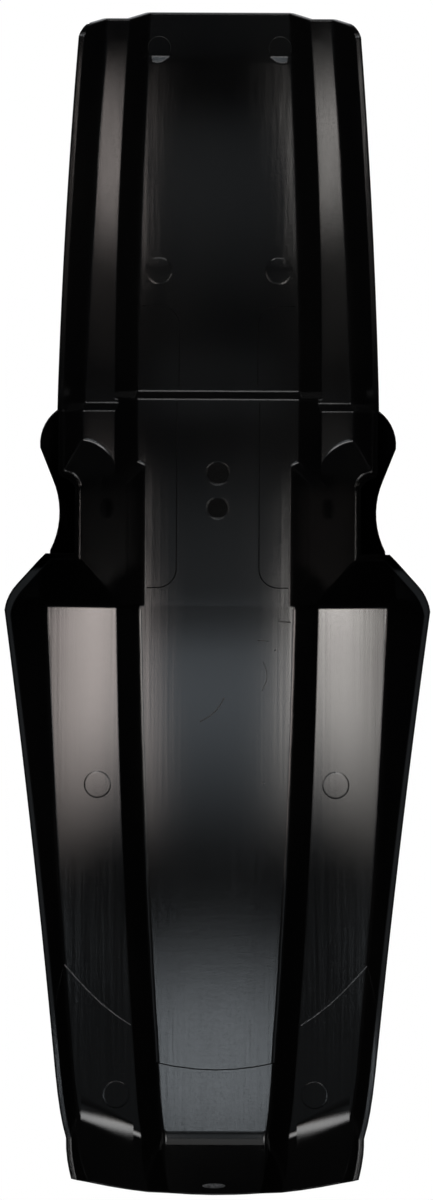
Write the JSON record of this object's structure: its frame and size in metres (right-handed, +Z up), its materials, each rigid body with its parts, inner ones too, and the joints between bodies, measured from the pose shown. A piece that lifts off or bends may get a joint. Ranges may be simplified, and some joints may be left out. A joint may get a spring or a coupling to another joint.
{
  "type": "bicycle mudguard",
  "caption": "Moulded front mudguard with a centre channel, stepped side panels, flared skirts and fork-leg notches, to keep spray off above a bicycle's front wheel.",
  "frame": {"origin": "centre of the crown seat, on the upper outer face of the waist between the fork-leg notches", "axes": "+X towards the nose, +Y to the rider's left, +Z up, as fitted on the bicycle; the crown seat is level"},
  "size_m": [0.5239, 0.1884, 0.0672],
  "materials": {
    "mudguard": "satin black, moulded through"
  },
  "bodies": {
    "root": {"mudguard": "mudguard"}
  },
  "joints": []
}
